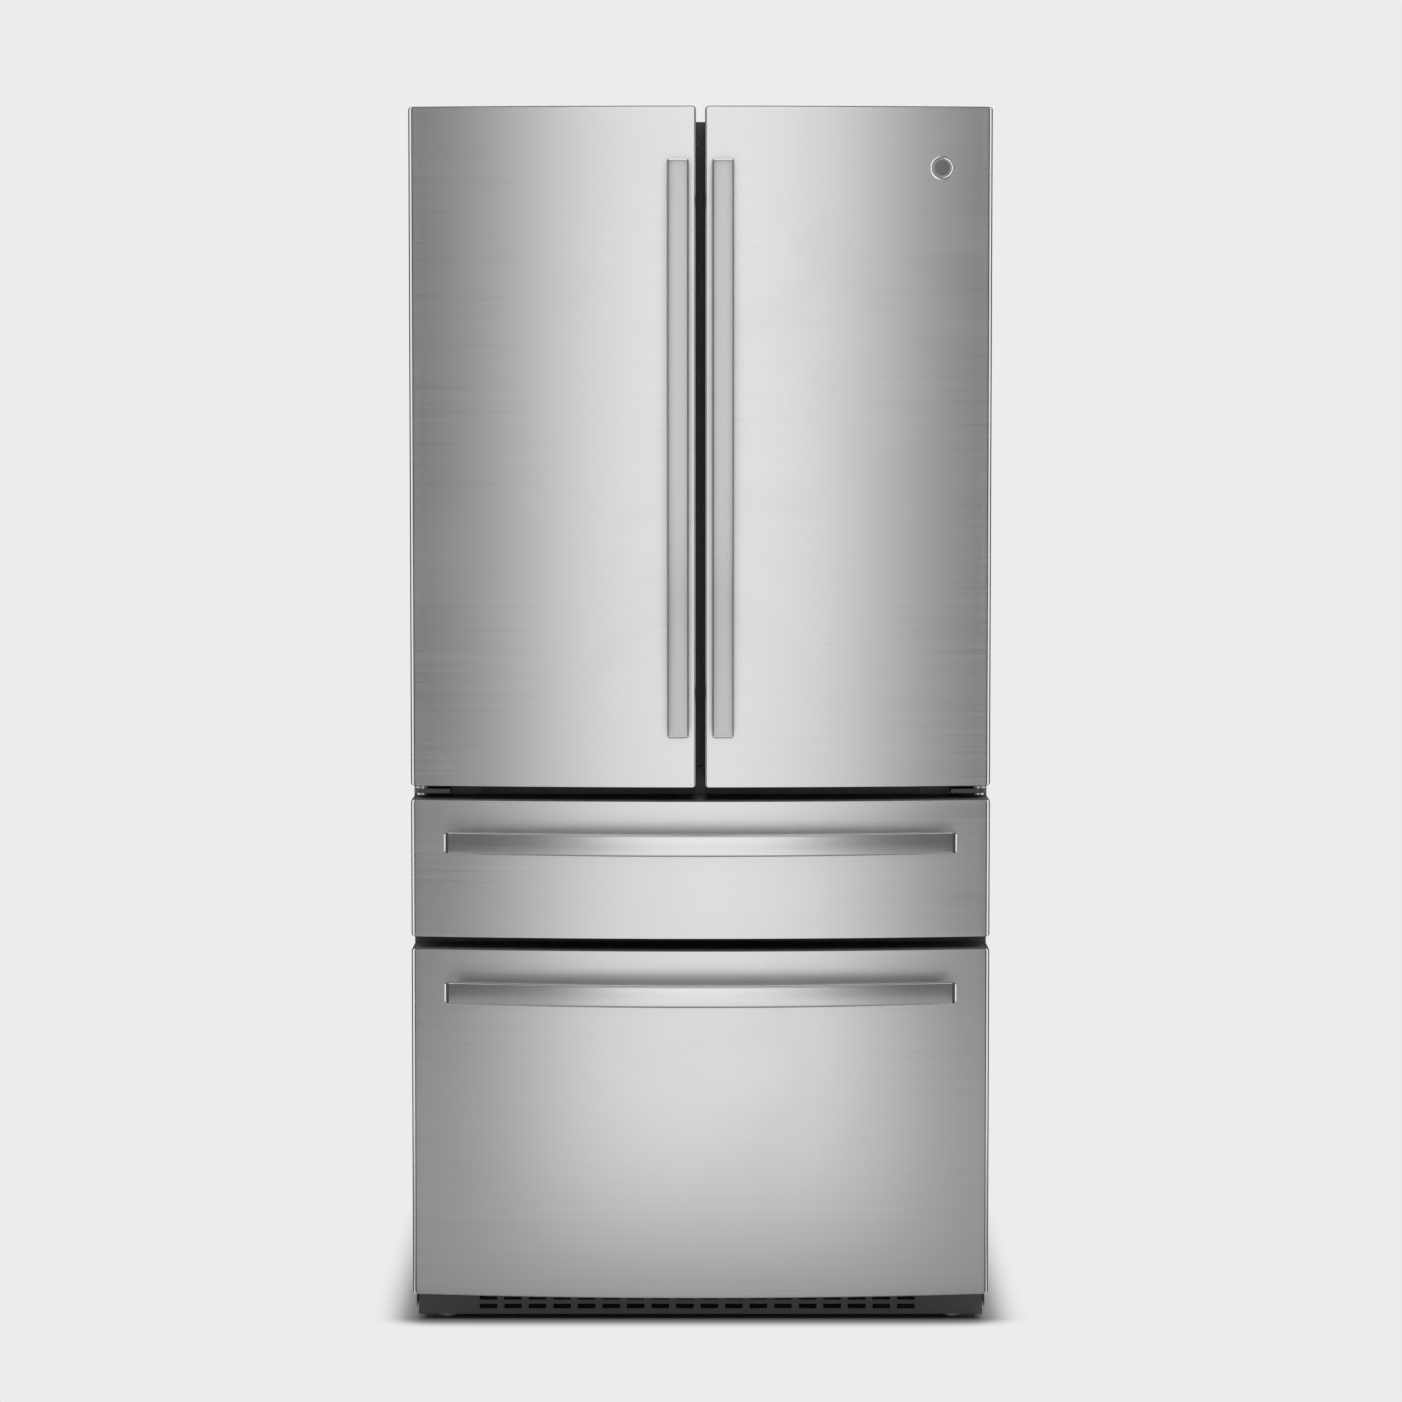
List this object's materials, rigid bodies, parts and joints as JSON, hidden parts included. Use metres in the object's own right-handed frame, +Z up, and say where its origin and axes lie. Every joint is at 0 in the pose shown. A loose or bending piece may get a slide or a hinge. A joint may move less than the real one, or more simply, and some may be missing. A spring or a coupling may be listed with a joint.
{
  "type": "french door refrigerator",
  "caption": "Freestanding refrigerator with paired bowed upper doors over a middle drawer and a bottom freezer drawer, bar handles, shelves, bins and sliding drawers.",
  "frame": {"origin": "middle of the footprint on the floor", "axes": "+Z up, the front with its doors faces -Y, +X to the right seen from the front"},
  "size_m": [0.832, 0.92, 1.771],
  "materials": {
    "stainless": "satin",
    "case_paint": "satin",
    "galvanised": "satin",
    "black_metal": "satin",
    "zinc": "satin",
    "dark_plastic": "matte",
    "white_liner": "gloss",
    "insulation": "matte",
    "seal_rubber": "matte",
    "shelf_glass": "gloss",
    "clear_plastic": "gloss",
    "grey_plastic": "satin",
    "fin_aluminium": "satin"
  },
  "bodies": {
    "cabinet": {"air_covers": "white_liner", "back_panel": "galvanised", "base_frame": "galvanised", "cabinet_foam": "insulation", "cabinet_slides": "zinc", "cabinet_wrapper": "case_paint", "ceiling_light": "clear_plastic", "centre_hinges": "case_paint", "compressor": "black_metal", "condenser": "black_metal", "cord_gland": "dark_plastic", "drain_pan": "dark_plastic", "evaporator": "fin_aluminium", "freezer_liner": "white_liner", "fresh_food_liner": "white_liner", "front_frame": "case_paint", "glass_shelves": "shelf_glass", "hinge_covers": "dark_plastic", "middle_liner": "white_liner", "mullion_guide": "grey_plastic", "rear_access_cover": "galvanised", "shelf_frames": "white_liner", "toe_grille": "dark_plastic", "top_hinges": "zinc"},
    "left_door": {"left_door_skin": "stainless", "left_door_caps": "dark_plastic", "left_door_inner_panel": "white_liner", "left_door_gasket": "seal_rubber", "left_door_handle": "stainless", "left_door_bins": "clear_plastic"},
    "right_door": {"right_door_skin": "stainless", "right_door_caps": "dark_plastic", "right_door_inner_panel": "white_liner", "right_door_gasket": "seal_rubber", "right_door_handle": "stainless", "right_door_bins": "clear_plastic", "badge": "stainless"},
    "mullion_bar": {"mullion": "grey_plastic"},
    "dairy_cover": {"dairy_lid": "clear_plastic"},
    "middle_drawer": {"middle_drawer_front": "stainless", "middle_drawer_inner_panel": "white_liner", "middle_drawer_handle": "stainless", "middle_drawer_bin": "clear_plastic", "middle_drawer_runners": "zinc"},
    "middle_rails": {"middle_drawer_rails": "zinc"},
    "freezer_drawer": {"freezer_drawer_front": "stainless", "freezer_drawer_inner_panel": "white_liner", "freezer_drawer_handle": "stainless", "freezer_drawer_bin": "white_liner", "freezer_drawer_runners": "zinc"},
    "freezer_rails": {"freezer_drawer_rails": "zinc"},
    "upper_basket": {"freezer_basket": "clear_plastic"},
    "left_crisper": {"crisper_left": "clear_plastic"},
    "right_crisper": {"crisper_right": "clear_plastic"},
    "left_leg": {"levelling_leg_left": "dark_plastic"},
    "right_leg": {"levelling_leg_right": "dark_plastic"},
    "left_roller": {"rear_roller_left": "dark_plastic"},
    "right_roller": {"rear_roller_right": "dark_plastic"},
    "cooling_fan": {"condenser_fan": "dark_plastic"},
    "freezer_fan": {"evaporator_fan": "dark_plastic"}
  },
  "joints": [
    {"name": "left_door_swing", "type": "hinge", "parent": "cabinet", "child": "left_door", "pos_m": [-0.401, -0.332, 0.8], "axis": [0, 0, -1], "range_deg": [0, 125]},
    {"name": "right_door_swing", "type": "hinge", "parent": "cabinet", "child": "right_door", "pos_m": [0.401, -0.332, 0.8], "axis": [0, 0, 1], "range_deg": [0, 125]},
    {"name": "mullion_fold", "type": "hinge", "parent": "left_door", "child": "mullion_bar", "pos_m": [-0.034, -0.278, 0.8], "axis": [0, 0, 1], "range_deg": [0, 85]},
    {"name": "middle_drawer_slide", "type": "slide", "parent": "cabinet", "child": "middle_drawer", "axis": [0, -1, 0], "range_m": [0, 0.4]},
    {"name": "middle_rails_slide", "type": "slide", "parent": "cabinet", "child": "middle_rails", "axis": [0, -1, 0], "range_m": [0, 0.2]},
    {"name": "freezer_drawer_slide", "type": "slide", "parent": "cabinet", "child": "freezer_drawer", "axis": [0, -1, 0], "range_m": [0, 0.4]},
    {"name": "freezer_rails_slide", "type": "slide", "parent": "cabinet", "child": "freezer_rails", "axis": [0, -1, 0], "range_m": [0, 0.2]},
    {"name": "upper_basket_slide", "type": "slide", "parent": "freezer_drawer", "child": "upper_basket", "axis": [0, 1, 0], "range_m": [0, 0.19]},
    {"name": "left_crisper_slide", "type": "slide", "parent": "cabinet", "child": "left_crisper", "axis": [0, -1, 0], "range_m": [0, 0.055]},
    {"name": "right_crisper_slide", "type": "slide", "parent": "cabinet", "child": "right_crisper", "axis": [0, -1, 0], "range_m": [0, 0.055]},
    {"name": "dairy_lid_lift", "type": "hinge", "parent": "right_door", "child": "dairy_cover", "pos_m": [0.2, -0.285, 1.55], "axis": [1, 0, 0], "range_deg": [0, 85]},
    {"name": "left_leg_turn", "type": "hinge", "parent": "cabinet", "child": "left_leg", "pos_m": [-0.37, -0.244, 0.02], "axis": [0, 0, 1], "continuous": true},
    {"name": "right_leg_turn", "type": "hinge", "parent": "cabinet", "child": "right_leg", "pos_m": [0.37, -0.244, 0.02], "axis": [0, 0, 1], "continuous": true},
    {"name": "left_roller_spin", "type": "hinge", "parent": "cabinet", "child": "left_roller", "pos_m": [-0.37, 0.4, 0.02], "axis": [1, 0, 0], "continuous": true},
    {"name": "right_roller_spin", "type": "hinge", "parent": "cabinet", "child": "right_roller", "pos_m": [0.37, 0.4, 0.02], "axis": [1, 0, 0], "continuous": true},
    {"name": "cooling_fan_spin", "type": "hinge", "parent": "cabinet", "child": "cooling_fan", "pos_m": [0, 0.335, 0.161], "axis": [1, 0, 0], "continuous": true},
    {"name": "freezer_fan_spin", "type": "hinge", "parent": "cabinet", "child": "freezer_fan", "pos_m": [0, 0.345, 0.4885], "axis": [0, 1, 0], "continuous": true}
  ],
  "couplings": [
    {"joint": "mullion_fold", "follows": "left_door_swing", "ratio": 0.68},
    {"joint": "middle_rails_slide", "follows": "middle_drawer_slide", "ratio": 0.5},
    {"joint": "freezer_rails_slide", "follows": "freezer_drawer_slide", "ratio": 0.5}
  ]
}
